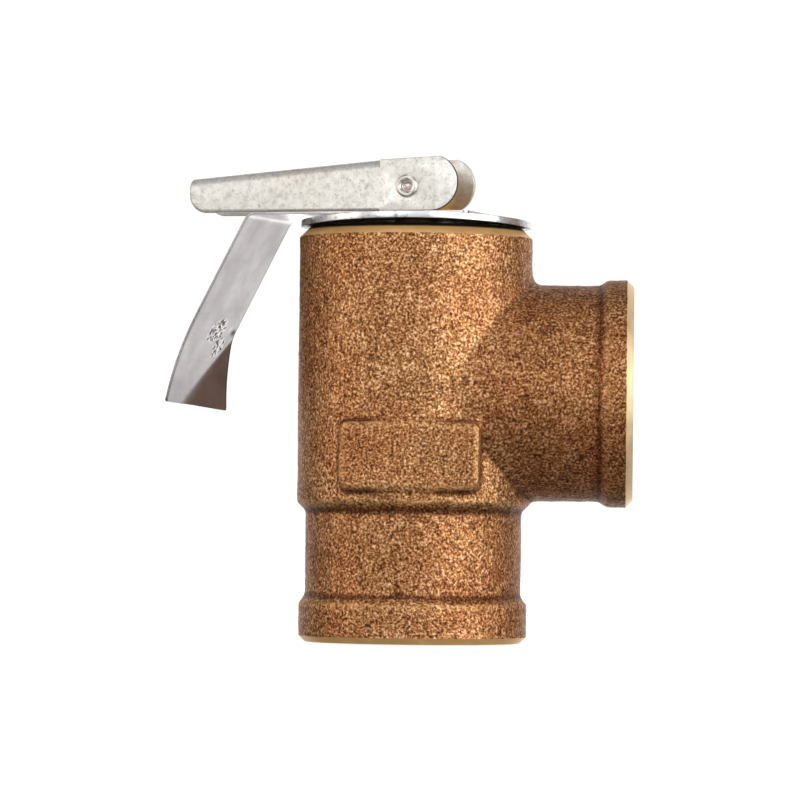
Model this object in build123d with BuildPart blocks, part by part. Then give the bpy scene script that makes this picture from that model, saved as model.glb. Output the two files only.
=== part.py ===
"""Pressure relief valve with 3/4 inch female pipe ports, in millimetres.

A cast bronze body stands on its inlet face. Inside it a spring holds a rubber-faced disc on the seat. A stem
carries the disc's lift up through a bowed cap plate to a test lever, and a bent rating tag hangs on the stem.

Frame: the origin is the centre of the inlet face, +Z runs up the stem and +X runs out of the outlet.
"""

from math import asin, cos, degrees, radians, sin, sqrt, tan
import os

from build123d import *

# Cast body
inlet_bead_radius = 18.5
outlet_bead_radius = 18.4
neck_radius = 17.5
inlet_bead_height = 6.3
outlet_bead_length = 4.3
bead_blend = 0.6
port_chamfer = 1.0
outlet_chamfer = 1.1
barrel_radius = 18.9
step_bottom = 21.3
step_top = 23.2
body_top = 67.2
top_chamfer = 1.65
outlet_axis_height = 40.6
outlet_reach = 35.5
junction_fillet = 2.0

# Flat casting pad on the front of the barrel
pad_width = 22.4
pad_centre = 0.0
pad_bottom = 24.55
pad_top = 35.45
pad_face = 19.2
pad_root = 12.0
pad_corner = 1.2
pad_edge = 0.5

# Ports, seat and spring chamber
thread_radius = 11.85
thread_length = 14.5
mouth_chamfer = 0.5
throat_radius = 8.0
throat_start = 17.2
seat_height = 25.5
seat_land_radius = 8.9
nozzle_radius = 9.6
chamber_floor = 21.5
chamber_radius = 14.6
outlet_passage_radius = 10.8
outlet_passage_start = 19.0

# Disc assembly
disc_radius = 10.2
disc_thickness = 2.8
clamp_hole_radius = 2.1
holder_gap = 0.1
cup_radius = 12.0
cup_rim_height = 26.6
spring_seat_height = 32.5
pilot_radius = 9.0
holder_top = 38.0
wing_count = 4
wing_reach = 14.4
wing_width = 4.0
wing_top = 31.5
washer_radius = 5.2
washer_thickness = 0.8
screw_head_radius = 3.2
screw_head_height = 1.8
screw_radius = 1.9
screw_length = 6.2
driver_slot = 0.8

# Stem, and the ring that traps its collar in the disc holder
stem_radius = 3.6
slide_clearance = 0.08
collar_radius = 5.2
collar_height = 2.4
collar_seat = 33.2
socket_radius = 5.6
ring_inner_radius = 4.0
ring_outer_radius = 6.1
ring_thickness = 0.8
ring_gap = 3.0
stem_above_pin = 3.4
stem_top_chamfer = 0.8

# Spring and the pieces that hold it down
spring_top = 55.0
wire_radius = 1.2
spring_mean_radius = 10.6
coil_pitch = 4.2
step_thickness = 2.5
step_radius = 12.4
step_pilot_radius = 9.0
step_pilot_height = 2.0
plug_thickness = 4.5
plug_radius = 14.56
spanner_hole_radius = 1.6
spanner_circle_radius = 9.3
spanner_hole_depth = 3.0
lock_ring_thickness = 2.2
lock_ring_bore = 10.8
lock_notch_width = 3.0
face_gap = 0.02

# Cap plate, bowed about Y so that its left and right edges are low
plate_radius = 18.7
plate_thickness = 1.1
plate_edge_height = 67.2
plate_bow = 0.72
plate_hole_radius = 4.0

# Lever, turned about the stem from the outlet's plane
lever_turn = 16.4
tag_turn = 15.9
pin_height = 73.85
lever_width = 10.0
lever_sheet = 0.95
handle_length = 37.8
lever_bottom = -4.05
handle_top = 1.52
web_top = 4.35
ear_top = 4.8
heel_centre_x = 4.0
heel_centre_y = 0.56
heel_radius = 4.51
web_end = -4.7
handle_corner = 2.9
handle_top_corner = 0.6
bend_radius = 1.6
pin_hole_radius = 1.53

# Semi-tubular rivet
rivet_radius = 1.47
clinch_radius = 1.88
clinch_height = 0.5
rivet_bore_radius = 0.9
rivet_bore_depth = 0.9
rivet_head_radius = 2.6
rivet_head_height = 0.9

# Rating tag, a bent strip with a hole over the stem
tag_width = 20.8
tag_sheet = 0.4
tag_gap = 0.06
tag_right_reach = 12.0
tag_left_reach = 25.37
tag_bend_radius = 2.0
tag_lean = 28.0
tag_straight = 18.5
tag_near_length = 15.2
tag_far_length = 15.7
tag_near_curl = 2.1
tag_far_curl = 5.3
tag_hole_radius = 4.2
tag_corner = 0.9
tag_tip_corner = 0.5


# ---------------------------------------------------------------- body
barrel_outline = [
    (0, 0),
    (inlet_bead_radius - port_chamfer, 0),
    (inlet_bead_radius, port_chamfer),
    (inlet_bead_radius, inlet_bead_height),
    (neck_radius, inlet_bead_height + 2 * bead_blend),
    (neck_radius, step_bottom),
    (barrel_radius, step_top),
    (barrel_radius, body_top - top_chamfer),
    (barrel_radius - top_chamfer, body_top),
    (0, body_top),
]
bead_start = outlet_reach - outlet_bead_length
branch_outline = [
    (0, 0),
    (0, neck_radius),
    (bead_start - 2 * bead_blend, neck_radius),
    (bead_start, outlet_bead_radius),
    (outlet_reach - outlet_chamfer, outlet_bead_radius),
    (outlet_reach, outlet_bead_radius - outlet_chamfer),
    (outlet_reach, 0),
]
inlet_bore_outline = [
    (0, 0),
    (thread_radius + mouth_chamfer, 0),
    (thread_radius, mouth_chamfer),
    (thread_radius, thread_length),
    (throat_radius, throat_start),
    (throat_radius, seat_height),
    (0, seat_height),
]
chamber_outline = [
    (nozzle_radius, chamber_floor),
    (chamber_radius, chamber_floor),
    (chamber_radius, body_top),
    (0, body_top),
    (0, seat_height),
    (seat_land_radius, seat_height),
    (nozzle_radius, seat_height - (nozzle_radius - seat_land_radius)),
]
outlet_bore_outline = [
    (0, 0),
    (0, outlet_passage_radius),
    (outlet_passage_start, outlet_passage_radius),
    (outlet_reach - thread_length, thread_radius),
    (outlet_reach - mouth_chamfer, thread_radius),
    (outlet_reach, thread_radius + mouth_chamfer),
    (outlet_reach, 0),
]
outlet_section = Plane(origin=(0, 0, outlet_axis_height), x_dir=(1, 0, 0), z_dir=(0, -1, 0))
outlet_axis = Axis((0, 0, outlet_axis_height), (1, 0, 0))
pad_plane = Plane(origin=(0, -pad_root, 0), x_dir=(1, 0, 0), z_dir=(0, -1, 0))

with BuildPart() as valve_body:
    with BuildSketch(Plane.XZ):
        with BuildLine():
            Polyline(*barrel_outline, close=True)
        make_face()
    revolve(axis=Axis.Z)
    with BuildSketch(outlet_section):
        with BuildLine():
            Polyline(*branch_outline, close=True)
        make_face()
    revolve(axis=outlet_axis)
    # The soft cast corner where the branch leaves the barrel.
    junction = [
        edge
        for edge in valve_body.edges().filter_by(GeomType.LINE, reverse=True).filter_by(GeomType.CIRCLE, reverse=True)
        if edge.bounding_box().size.Y > 10
    ]
    fillet(junction, junction_fillet)
    with BuildSketch(pad_plane):
        with Locations((pad_centre, (pad_bottom + pad_top) / 2)):
            RectangleRounded(pad_width, pad_top - pad_bottom, pad_corner)
    extrude(amount=pad_face - pad_root)
    pad_front = valve_body.faces().filter_by(Plane.XZ).sort_by(Axis.Y)[0]
    fillet(pad_front.edges(), pad_edge)
    with BuildSketch(Plane.XZ):
        with BuildLine():
            Polyline(*inlet_bore_outline, close=True)
        make_face()
    revolve(axis=Axis.Z, mode=Mode.SUBTRACT)
    with BuildSketch(Plane.XZ):
        with BuildLine():
            Polyline(*chamber_outline, close=True)
        make_face()
    revolve(axis=Axis.Z, mode=Mode.SUBTRACT)
    # The outlet bore stops at the chamber, so it leaves the nozzle whole.
    with BuildSketch(outlet_section):
        with BuildLine():
            Polyline(*outlet_bore_outline, close=True)
        make_face()
    revolve(axis=outlet_axis, mode=Mode.SUBTRACT)

valve_body.part.label = "valve_body"

# ---------------------------------------------------------------- disc assembly
disc_top = seat_height + disc_thickness
cup_floor = disc_top

with BuildPart() as seat_disc:
    with BuildSketch(Plane.XY.offset(seat_height)):
        Circle(disc_radius)
        Circle(clamp_hole_radius, mode=Mode.SUBTRACT)
    extrude(amount=disc_thickness)
    fillet(seat_disc.edges().filter_by(GeomType.CIRCLE).sort_by(SortBy.RADIUS)[-2:], 0.3)

seat_disc.part.label = "seat_disc"

collar_top = collar_seat + collar_height
ring_floor = collar_top + 0.1
holder_outline = [
    (screw_radius + face_gap, cup_floor),
    (disc_radius + holder_gap, cup_floor),
    (disc_radius + holder_gap, cup_rim_height),
    (cup_radius, cup_rim_height),
    (cup_radius + 0.9, cup_rim_height + 0.9),
    (cup_radius + 0.9, spring_seat_height),
    (pilot_radius, spring_seat_height),
    (pilot_radius, holder_top - 0.8),
    (pilot_radius - 0.8, holder_top),
    (socket_radius, holder_top),
    (socket_radius, ring_floor + ring_thickness + 0.06),
    (ring_outer_radius + 0.2, ring_floor + ring_thickness + 0.06),
    (ring_outer_radius + 0.2, ring_floor),
    (socket_radius, ring_floor),
    (socket_radius, collar_seat - 0.1),
    (screw_radius + face_gap, collar_seat - 0.1),
]

with BuildPart() as disc_holder:
    with BuildSketch(Plane.XZ):
        with BuildLine():
            Polyline(*holder_outline, close=True)
        make_face()
    revolve(axis=Axis.Z)
    # Four wings keep the holder central in the chamber and let the discharge past.
    wing_length = wing_reach - cup_radius + 1.0
    with BuildSketch(Plane.XY.offset(cup_rim_height + 0.9)):
        with PolarLocations(cup_radius - 1.0 + wing_length / 2, wing_count, start_angle=45):
            Rectangle(wing_length, wing_width)
    extrude(amount=wing_top - cup_rim_height - 0.9)
    wing_tips = disc_holder.edges().filter_by(Axis.Z).filter_by(lambda edge: Vector(edge.center().X, edge.center().Y).length > 13.8)
    fillet(wing_tips, 0.4)

disc_holder.part.label = "disc_holder"

with BuildPart() as disc_washer:
    with BuildSketch(Plane.XY.offset(seat_height - washer_thickness)):
        Circle(washer_radius)
        Circle(clamp_hole_radius, mode=Mode.SUBTRACT)
    extrude(amount=washer_thickness)
    chamfer(disc_washer.edges().group_by(Axis.Z)[0].sort_by(SortBy.RADIUS)[-1], 0.25)

disc_washer.part.label = "disc_washer"

screw_seat = seat_height - washer_thickness
with BuildPart() as disc_screw:
    with BuildSketch(Plane.XY.offset(screw_seat - screw_head_height)):
        Circle(screw_head_radius)
    extrude(amount=screw_head_height)
    fillet(disc_screw.edges().group_by(Axis.Z)[0], 0.6)
    with BuildSketch(Plane.XY.offset(screw_seat)):
        Circle(screw_radius)
    extrude(amount=screw_length)
    chamfer(disc_screw.edges().group_by(Axis.Z)[-1], 0.3)
    with BuildSketch(Plane.XY.offset(screw_seat - screw_head_height)):
        Rectangle(2 * screw_head_radius + 1, driver_slot)
    extrude(amount=driver_slot, mode=Mode.SUBTRACT)

disc_screw.part.label = "disc_screw"

with BuildPart() as stem_ring:
    with BuildSketch(Plane.XY.offset(ring_floor + 0.03)):
        Circle(ring_outer_radius)
        Circle(ring_inner_radius, mode=Mode.SUBTRACT)
        with Locations((0, -ring_outer_radius)):
            Rectangle(ring_gap, 2 * (ring_outer_radius - ring_inner_radius) + 2, mode=Mode.SUBTRACT)
    extrude(amount=ring_thickness)

stem_ring.part.label = "stem_ring"

# ---------------------------------------------------------------- stem
# The lever's own plane: X runs along the lever towards its heel, Y runs up, and the normal is its near side.
turn = radians(lever_turn)
lever_along = (cos(turn), -sin(turn), 0)
lever_near = (-sin(turn), -cos(turn), 0)
lever_plane = Plane(origin=(0, 0, pin_height), x_dir=lever_along, z_dir=lever_near)
tag_angle = radians(tag_turn)
tag_plane = Plane(
    origin=(0, 0, pin_height),
    x_dir=(cos(tag_angle), -sin(tag_angle), 0),
    z_dir=(-sin(tag_angle), -cos(tag_angle), 0),
)
stem_outline = [
    (0, collar_seat),
    (collar_radius - 0.4, collar_seat),
    (collar_radius, collar_seat + 0.4),
    (collar_radius, collar_top),
    (stem_radius, collar_top),
    (stem_radius, pin_height + stem_above_pin - stem_top_chamfer),
    (stem_radius - stem_top_chamfer, pin_height + stem_above_pin),
    (0, pin_height + stem_above_pin),
]

with BuildPart() as stem:
    with BuildSketch(Plane.XZ):
        with BuildLine():
            Polyline(*stem_outline, close=True)
        make_face()
    revolve(axis=Axis.Z)
    with BuildSketch(lever_plane):
        Circle(rivet_radius + face_gap)
    extrude(amount=lever_width, both=True, mode=Mode.SUBTRACT)

stem.part.label = "stem"

# ---------------------------------------------------------------- spring and what holds it
spring_bottom = spring_seat_height
spring_height = spring_top - spring_bottom

with BuildPart() as spring:
    with BuildLine():
        # The coils run past both ends, which are then ground flat.
        coil = Helix(
            pitch=coil_pitch,
            height=spring_height + coil_pitch,
            radius=spring_mean_radius,
            center=(0, 0, spring_bottom - coil_pitch / 2),
        )
    with BuildSketch(Plane(origin=coil @ 0, x_dir=(1, 0, 0), z_dir=coil % 0)):
        Circle(wire_radius)
    sweep()
    with BuildSketch(Plane.XY.offset(spring_bottom - 3 * coil_pitch)):
        Circle(2 * spring_mean_radius)
    extrude(amount=3 * coil_pitch, mode=Mode.SUBTRACT)
    with BuildSketch(Plane.XY.offset(spring_top)):
        Circle(2 * spring_mean_radius)
    extrude(amount=3 * coil_pitch, mode=Mode.SUBTRACT)

spring.part.label = "spring"

with BuildPart() as spring_step:
    with BuildSketch(Plane.XY.offset(spring_top)):
        Circle(step_radius)
    extrude(amount=step_thickness)
    with BuildSketch(Plane.XY.offset(spring_top - step_pilot_height)):
        Circle(step_pilot_radius)
    extrude(amount=step_pilot_height)
    chamfer(spring_step.edges().group_by(Axis.Z)[0], 0.5)
    with BuildSketch(Plane.XY.offset(spring_top - step_pilot_height)):
        Circle(stem_radius + 0.3)
    extrude(amount=step_thickness + step_pilot_height, mode=Mode.SUBTRACT)

spring_step.part.label = "spring_step"

plug_bottom = spring_top + step_thickness + face_gap
plug_top = plug_bottom + plug_thickness

with BuildPart() as adjusting_plug:
    with BuildSketch(Plane.XY.offset(plug_bottom)):
        Circle(plug_radius)
    extrude(amount=plug_thickness)
    chamfer(adjusting_plug.edges().filter_by(GeomType.CIRCLE), 0.5)
    with BuildSketch(Plane.XY.offset(plug_bottom)):
        Circle(stem_radius + slide_clearance)
    extrude(amount=plug_thickness, mode=Mode.SUBTRACT)
    # Four blind holes take the setting spanner.
    with BuildSketch(Plane.XY.offset(plug_top)):
        with PolarLocations(spanner_circle_radius, 4):
            Circle(spanner_hole_radius)
    extrude(amount=-spanner_hole_depth, mode=Mode.SUBTRACT)

adjusting_plug.part.label = "adjusting_plug"

lock_bottom = plug_top + face_gap
with BuildPart() as lock_ring:
    with BuildSketch(Plane.XY.offset(lock_bottom)):
        Circle(plug_radius)
        Circle(lock_ring_bore, mode=Mode.SUBTRACT)
        with PolarLocations(lock_ring_bore, 2, start_angle=30):
            Rectangle(2 * lock_notch_width, lock_notch_width, mode=Mode.SUBTRACT)
    extrude(amount=lock_ring_thickness)
    chamfer(lock_ring.edges().filter_by(GeomType.CIRCLE).filter_by(lambda edge: edge.radius > 14), 0.3)

lock_ring.part.label = "lock_ring"

# ---------------------------------------------------------------- cap plate
# The plate's two faces are arcs about one line along Y, so it has the same thickness all over.
plate_bottom_radius = (plate_radius**2 + plate_bow**2) / (2 * plate_bow)
plate_crown = plate_edge_height + plate_bow
plate_top_height = plate_crown + plate_thickness
plate_reach = plate_radius + 2
bottom_drop = plate_bottom_radius - sqrt(plate_bottom_radius**2 - plate_reach**2)
plate_top_radius = plate_bottom_radius + plate_thickness
top_drop = plate_top_radius - sqrt(plate_top_radius**2 - plate_reach**2)

with BuildPart() as cap_plate:
    with BuildSketch(Plane.XZ):
        with BuildLine():
            underside = ThreePointArc(
                (-plate_reach, plate_crown - bottom_drop),
                (0, plate_crown),
                (plate_reach, plate_crown - bottom_drop),
            )
            upper = ThreePointArc(
                (-plate_reach, plate_top_height - top_drop),
                (0, plate_top_height),
                (plate_reach, plate_top_height - top_drop),
            )
            Line(underside @ 0, upper @ 0)
            Line(underside @ 1, upper @ 1)
        make_face()
    extrude(amount=plate_reach, both=True)
    with BuildSketch(Plane.XY.offset(plate_edge_height - 2)):
        Circle(plate_radius)
        Circle(plate_hole_radius, mode=Mode.SUBTRACT)
    extrude(amount=6, mode=Mode.INTERSECT)

cap_plate.part.label = "cap_plate"

# ---------------------------------------------------------------- lever and rivet
heel_top_angle = degrees(asin((ear_top - heel_centre_y) / heel_radius))
heel_middle = radians((heel_top_angle - 90) / 2)
heel_start = (
    heel_centre_x + heel_radius * cos(radians(heel_top_angle)),
    heel_centre_y + heel_radius * sin(radians(heel_top_angle)),
)
heel_mid = (
    heel_centre_x + heel_radius * cos(heel_middle),
    heel_centre_y + heel_radius * sin(heel_middle),
)
heel_end = (heel_centre_x, heel_centre_y - heel_radius)
half_width = lever_width / 2
top_slope = (web_top - handle_top) / (handle_length + web_end)
along_lever = Axis(origin=(0, 0, 0), direction=lever_along)
across_lever = Axis(origin=(0, 0, 0), direction=lever_near)

with BuildPart() as lever:
    # The handle, a closed bar at first, with the two bends where its web turns down into its sides.
    with BuildSketch(lever_plane):
        with BuildLine():
            Polyline(
                (web_end, lever_bottom),
                (-handle_length, lever_bottom),
                (-handle_length, handle_top),
                (web_end, web_top),
                close=True,
            )
        make_face()
    extrude(amount=half_width, both=True)
    web_rims = lever.faces().sort_by(Axis.Z)[-1].edges().sort_by(SortBy.LENGTH)[-2:]
    fillet(web_rims, bend_radius)
    handle_end = lever.faces().sort_by(along_lever)[0]
    end_edges = handle_end.edges().sort_by(Axis.Z)
    fillet(end_edges[0], handle_corner)
    handle_end = lever.faces().sort_by(along_lever)[0]
    fillet(handle_end.edges().sort_by(Axis.Z)[-1], handle_top_corner)
    # The two ears, still one block, with the heel that rolls on the cap plate.
    with BuildSketch(lever_plane):
        with BuildLine():
            Polyline(heel_end, (web_end, lever_bottom), (web_end, web_top), heel_start)
            ThreePointArc(heel_start, heel_mid, heel_end)
        make_face()
    extrude(amount=half_width, both=True)
    # The hollow of the channel: under the web, and right through between the ears.
    with BuildSketch(lever_plane):
        with BuildLine():
            Polyline(
                (-handle_length - 5, lever_bottom - 5),
                (-handle_length - 5, handle_top - lever_sheet - 5 * top_slope),
                (web_end, web_top - lever_sheet),
                (web_end, ear_top + 5),
                (heel_start[0] + 10, ear_top + 5),
                (heel_start[0] + 10, lever_bottom - 5),
                close=True,
            )
        make_face()
    extrude(amount=half_width - lever_sheet, both=True, mode=Mode.SUBTRACT)
    with BuildSketch(lever_plane):
        Circle(pin_hole_radius)
    extrude(amount=lever_width, both=True, mode=Mode.SUBTRACT)

lever.part.label = "lever"

near_side = lever_plane.offset(half_width + 0.02)
far_side = lever_plane.offset(-half_width - 0.02)

with BuildPart() as lever_rivet:
    with BuildSketch(far_side):
        Circle(rivet_radius)
    extrude(amount=lever_width + 0.04 + clinch_height)
    with BuildSketch(near_side):
        Circle(clinch_radius)
    extrude(amount=clinch_height)
    with BuildSketch(far_side):
        Circle(rivet_head_radius)
    extrude(amount=-rivet_head_height)
    head_rim = lever_rivet.edges().filter_by(GeomType.CIRCLE).sort_by(across_lever)[0]
    fillet(head_rim, 0.6)
    with BuildSketch(lever_plane.offset(half_width + 0.02 + clinch_height)):
        Circle(rivet_bore_radius)
    extrude(amount=-rivet_bore_depth, mode=Mode.SUBTRACT)
    clinch_rim = (
        lever_rivet.edges()
        .filter_by(GeomType.CIRCLE)
        .filter_by(lambda edge: abs(edge.radius - clinch_radius) < 0.01)
        .sort_by(across_lever)[-1]
    )
    fillet(clinch_rim, 0.3)

lever_rivet.part.label = "lever_rivet"

# ---------------------------------------------------------------- rating tag
# Both long edges have the same outline but for the curl of the hanging end, which is stronger at the far edge.
tag_middle = plate_top_height + tag_gap + tag_sheet / 2 - pin_height
lean = radians(tag_lean)


def tag_outline(curl, curl_length):
    """Corner points and curl of one long edge, on one face of the strip, for each side of its middle line."""
    curl_radius = curl_length**2 / (2 * curl)
    curl_angle = curl_length / curl_radius
    turned = radians(90) - lean
    bend_start = (-tag_left_reach + tag_bend_radius * tan(turned / 2), tag_middle)
    centre = (bend_start[0], tag_middle - tag_bend_radius)

    def offset_side(side):
        outer = tag_bend_radius + side
        first = (tag_right_reach, tag_middle + side)
        second = (bend_start[0], tag_middle + side)
        mid_turn = turned / 2
        bend_mid = (centre[0] - outer * sin(mid_turn), centre[1] + outer * cos(mid_turn))
        bend_end = (centre[0] - outer * sin(turned), centre[1] + outer * cos(turned))
        down = (-sin(lean), -cos(lean))
        straight = tag_straight - tag_bend_radius * tan(turned / 2)
        curl_start = (bend_end[0] + down[0] * straight, bend_end[1] + down[1] * straight)
        inward = (cos(lean), -sin(lean))
        curl_centre = (
            curl_start[0] + inward[0] * (curl_radius + side),
            curl_start[1] + inward[1] * (curl_radius + side),
        )
        reach = curl_radius + side

        def on_curl(angle):
            return (
                curl_centre[0] - reach * (inward[0] * cos(angle) - down[0] * sin(angle)),
                curl_centre[1] - reach * (inward[1] * cos(angle) - down[1] * sin(angle)),
            )

        return first, second, bend_mid, bend_end, curl_start, on_curl(curl_angle / 2), on_curl(curl_angle)

    return offset_side(tag_sheet / 2), offset_side(-tag_sheet / 2)


near_upper, near_lower = tag_outline(tag_near_curl, tag_near_length)
far_upper, far_lower = tag_outline(tag_far_curl, tag_far_length)

with BuildPart() as rating_tag:
    for plane, upper_side, lower_side in (
        (tag_plane.offset(tag_width / 2), near_upper, near_lower),
        (tag_plane.offset(-tag_width / 2), far_upper, far_lower),
    ):
        with BuildSketch(plane):
            with BuildLine():
                Line(upper_side[0], upper_side[1])
                ThreePointArc(upper_side[1], upper_side[2], upper_side[3])
                Line(upper_side[3], upper_side[4])
                ThreePointArc(upper_side[4], upper_side[5], upper_side[6])
                Line(upper_side[6], lower_side[6])
                ThreePointArc(lower_side[6], lower_side[5], lower_side[4])
                Line(lower_side[4], lower_side[3])
                ThreePointArc(lower_side[3], lower_side[2], lower_side[1])
                Line(lower_side[1], lower_side[0])
                Line(lower_side[0], upper_side[0])
            make_face()
    loft(ruled=True)
    with BuildSketch(Plane.XY.offset(plate_top_height - 1)):
        Circle(tag_hole_radius)
    extrude(amount=3, mode=Mode.SUBTRACT)
    thin_corners = rating_tag.edges().filter_by(lambda edge: edge.length < tag_sheet * 1.1)
    right_corners = thin_corners.filter_by(lambda edge: edge.center().X > 5)
    tip_corners = thin_corners.filter_by(lambda edge: edge.center().Z < pin_height - 25)
    fillet(right_corners, tag_corner)
    fillet(tip_corners, tag_tip_corner)

rating_tag.part.label = "rating_tag"

# ---------------------------------------------------------------- files
os.makedirs("parts", exist_ok=True)
export_step(valve_body.part, "parts/valve_body.step")
export_step(seat_disc.part, "parts/seat_disc.step")
export_step(disc_holder.part, "parts/disc_holder.step")
export_step(disc_washer.part, "parts/disc_washer.step")
export_step(disc_screw.part, "parts/disc_screw.step")
export_step(stem_ring.part, "parts/stem_ring.step")
export_step(stem.part, "parts/stem.step")
export_step(spring.part, "parts/spring.step")
export_step(spring_step.part, "parts/spring_step.step")
export_step(adjusting_plug.part, "parts/adjusting_plug.step")
export_step(lock_ring.part, "parts/lock_ring.step")
export_step(cap_plate.part, "parts/cap_plate.step")
export_step(lever.part, "parts/lever.step")
export_step(lever_rivet.part, "parts/lever_rivet.step")
export_step(rating_tag.part, "parts/rating_tag.step")
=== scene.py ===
"""Looks for the pressure relief valve: its visible pieces, their materials, the studio and the camera."""

import math

import bmesh
import bpy
import numpy as np
from mathutils import Matrix, Vector, noise
from mathutils.bvhtree import BVHTree


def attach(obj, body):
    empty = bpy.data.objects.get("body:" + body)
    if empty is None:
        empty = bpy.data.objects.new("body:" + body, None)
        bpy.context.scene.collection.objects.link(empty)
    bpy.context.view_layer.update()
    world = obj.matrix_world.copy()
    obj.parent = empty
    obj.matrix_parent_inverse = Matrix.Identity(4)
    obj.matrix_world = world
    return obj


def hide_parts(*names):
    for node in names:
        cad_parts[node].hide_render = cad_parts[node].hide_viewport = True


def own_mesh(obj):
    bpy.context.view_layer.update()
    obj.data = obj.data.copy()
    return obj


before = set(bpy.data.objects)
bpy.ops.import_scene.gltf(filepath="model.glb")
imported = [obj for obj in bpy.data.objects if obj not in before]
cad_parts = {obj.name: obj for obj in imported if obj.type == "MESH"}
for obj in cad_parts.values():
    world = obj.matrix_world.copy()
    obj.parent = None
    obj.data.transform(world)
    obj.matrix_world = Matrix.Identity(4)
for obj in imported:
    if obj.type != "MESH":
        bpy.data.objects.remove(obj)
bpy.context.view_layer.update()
# The CAD's plain materials give up their names to the ones made here.
for plain in bpy.data.materials:
    plain.name = "frame_" + plain.name
scene = bpy.context.scene

# ------------------------------------------------------------------ sizes in millimetres, as in the CAD
MM = 0.001
BARREL_RADIUS = 18.9
NECK_RADIUS = 17.5
BRANCH_RADIUS = 17.5
BRANCH_AXIS = 40.6
BODY_TOP = 67.2
OUTLET_FACE = 35.5
PIN_HEIGHT = 73.85
LEVER_TURN = math.radians(16.4)
TAG_TURN = math.radians(15.9)
UPRIGHT = Matrix.Identity(4)
SIDEWAYS = Matrix.Translation((0, 0, BRANCH_AXIS)) @ Matrix.Rotation(math.pi / 2, 4, "Y")


def linked(name, data):
    """A new object in the scene."""
    made = bpy.data.objects.new(name, data)
    scene.collection.objects.link(made)
    return made


# ------------------------------------------------------------------ camera
TARGET = Vector((-0.00237, 0.0, 0.0393))
CAMERA_DISTANCE = 0.8125
CAMERA_AZIMUTH = math.radians(2.6)
CAMERA_HEIGHT = 0.0205
CAMERA_ROLL = math.radians(0.62)

camera_data = bpy.data.cameras.new("camera")
camera = linked("camera", camera_data)
camera.location = (
    TARGET.x + CAMERA_DISTANCE * math.sin(CAMERA_AZIMUTH),
    TARGET.y - CAMERA_DISTANCE * math.cos(CAMERA_AZIMUTH),
    CAMERA_HEIGHT,
)
sight = (TARGET - camera.location).normalized()
camera.rotation_mode = "QUATERNION"
roll = Matrix.Rotation(CAMERA_ROLL, 3, "Z").to_quaternion()
camera.rotation_quaternion = sight.to_track_quat("-Z", "Y") @ roll
camera_data.sensor_width = 36.0
camera_data.lens = 225.0
camera_data.clip_start = 0.01
camera_data.clip_end = 20
scene.camera = camera
scene.view_settings.view_transform = "Standard"


# ------------------------------------------------------------------ mesh tools, which work in millimetres
def new_object(name, vertices, faces):
    mesh = bpy.data.meshes.new(name)
    mesh.from_pydata([tuple(v) for v in vertices], [], faces)
    made = linked(name, mesh)
    work = bmesh.new()
    work.from_mesh(mesh)
    bmesh.ops.recalc_face_normals(work, faces=work.faces)
    work.to_mesh(mesh)
    work.free()
    return made


def modify(obj, kind, **settings):
    """Puts the result of one modifier into the object's mesh."""
    modifier = obj.modifiers.new(kind.lower(), kind)
    for key, value in settings.items():
        setattr(modifier, key, value)
    graph = bpy.context.evaluated_depsgraph_get()
    graph.update()
    shaped = obj.evaluated_get(graph)
    mesh = bpy.data.meshes.new_from_object(shaped, preserve_all_data_layers=True, depsgraph=graph)
    obj.modifiers.clear()
    obj.data = mesh


def revolved(name, outline, segments, place=UPRIGHT):
    """A solid turned about Z, then placed. Its (radius, height) pairs run from the axis to the axis."""
    vertices, rings = [], []
    for radius, height in outline:
        if radius < 1e-6:
            rings.append([len(vertices)] * segments)
            vertices.append((0, 0, height))
        else:
            rings.append(list(range(len(vertices), len(vertices) + segments)))
            for step in range(segments):
                angle = 2 * math.pi * step / segments
                vertices.append((radius * math.cos(angle), radius * math.sin(angle), height))
    faces = []
    for low, high in zip(rings, rings[1:]):
        for step in range(segments):
            after = (step + 1) % segments
            corners = [low[step], low[after], high[after], high[step]]
            face = [c for i, c in enumerate(corners) if c not in corners[:i]]
            if len(face) > 2:
                faces.append(face)
    return new_object(name, [place @ Vector(v) for v in vertices], faces)


def cut(target, cutter, operation="DIFFERENCE"):
    modify(target, "BOOLEAN", operation=operation, solver="MANIFOLD", object=cutter)
    bpy.data.objects.remove(cutter)


def read_array(rows, name, wide=1, kind=float):
    """One number, or wide numbers, for each of a mesh's vertices, edges, faces or loops."""
    values = np.zeros(len(rows) * wide, kind)
    rows.foreach_get(name, values)
    return values.reshape(-1, wide) if wide > 1 else values


def places_of(mesh):
    return read_array(mesh.vertices, "co", 3)


def normals_of(mesh):
    return read_array(mesh.vertex_normals, "vector", 3)


def point_attribute(mesh, name, values):
    attribute = mesh.attributes.get(name) or mesh.attributes.new(name, "FLOAT", "POINT")
    attribute.data.foreach_set("value", np.asarray(values, np.float32))


def sharpen(mesh, degrees):
    """Smooth shading, with hard edges at bends over this angle and where one metal meets another.

    On a piece of several metals, the machined faces that lie square to X, Y or Z are shaded flat.
    """
    metals = read_array(mesh.polygons, "material_index", kind=int)
    smooth = np.ones(len(metals), bool)
    if metals.any():
        squareness = np.abs(read_array(mesh.polygons, "normal", 3)).max(1)
        smooth = (squareness < 0.9998) | (metals == 0)
    # The angle test makes every face smooth, so the flat ones are marked after it.
    mesh.set_sharp_from_angle(angle=math.radians(degrees))
    mesh.polygons.foreach_set("use_smooth", smooth)
    edges = read_array(mesh.loops, "edge_index", kind=int)
    beside = np.repeat(metals, read_array(mesh.polygons, "loop_total", kind=int))
    low, high = np.full(len(mesh.edges), metals.max()), np.full(len(mesh.edges), metals.min())
    np.minimum.at(low, edges, beside)
    np.maximum.at(high, edges, beside)
    sharp = read_array(mesh.edges, "use_edge_sharp", kind=bool)
    mesh.edges.foreach_set("use_edge_sharp", sharp | (low < high))


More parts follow.
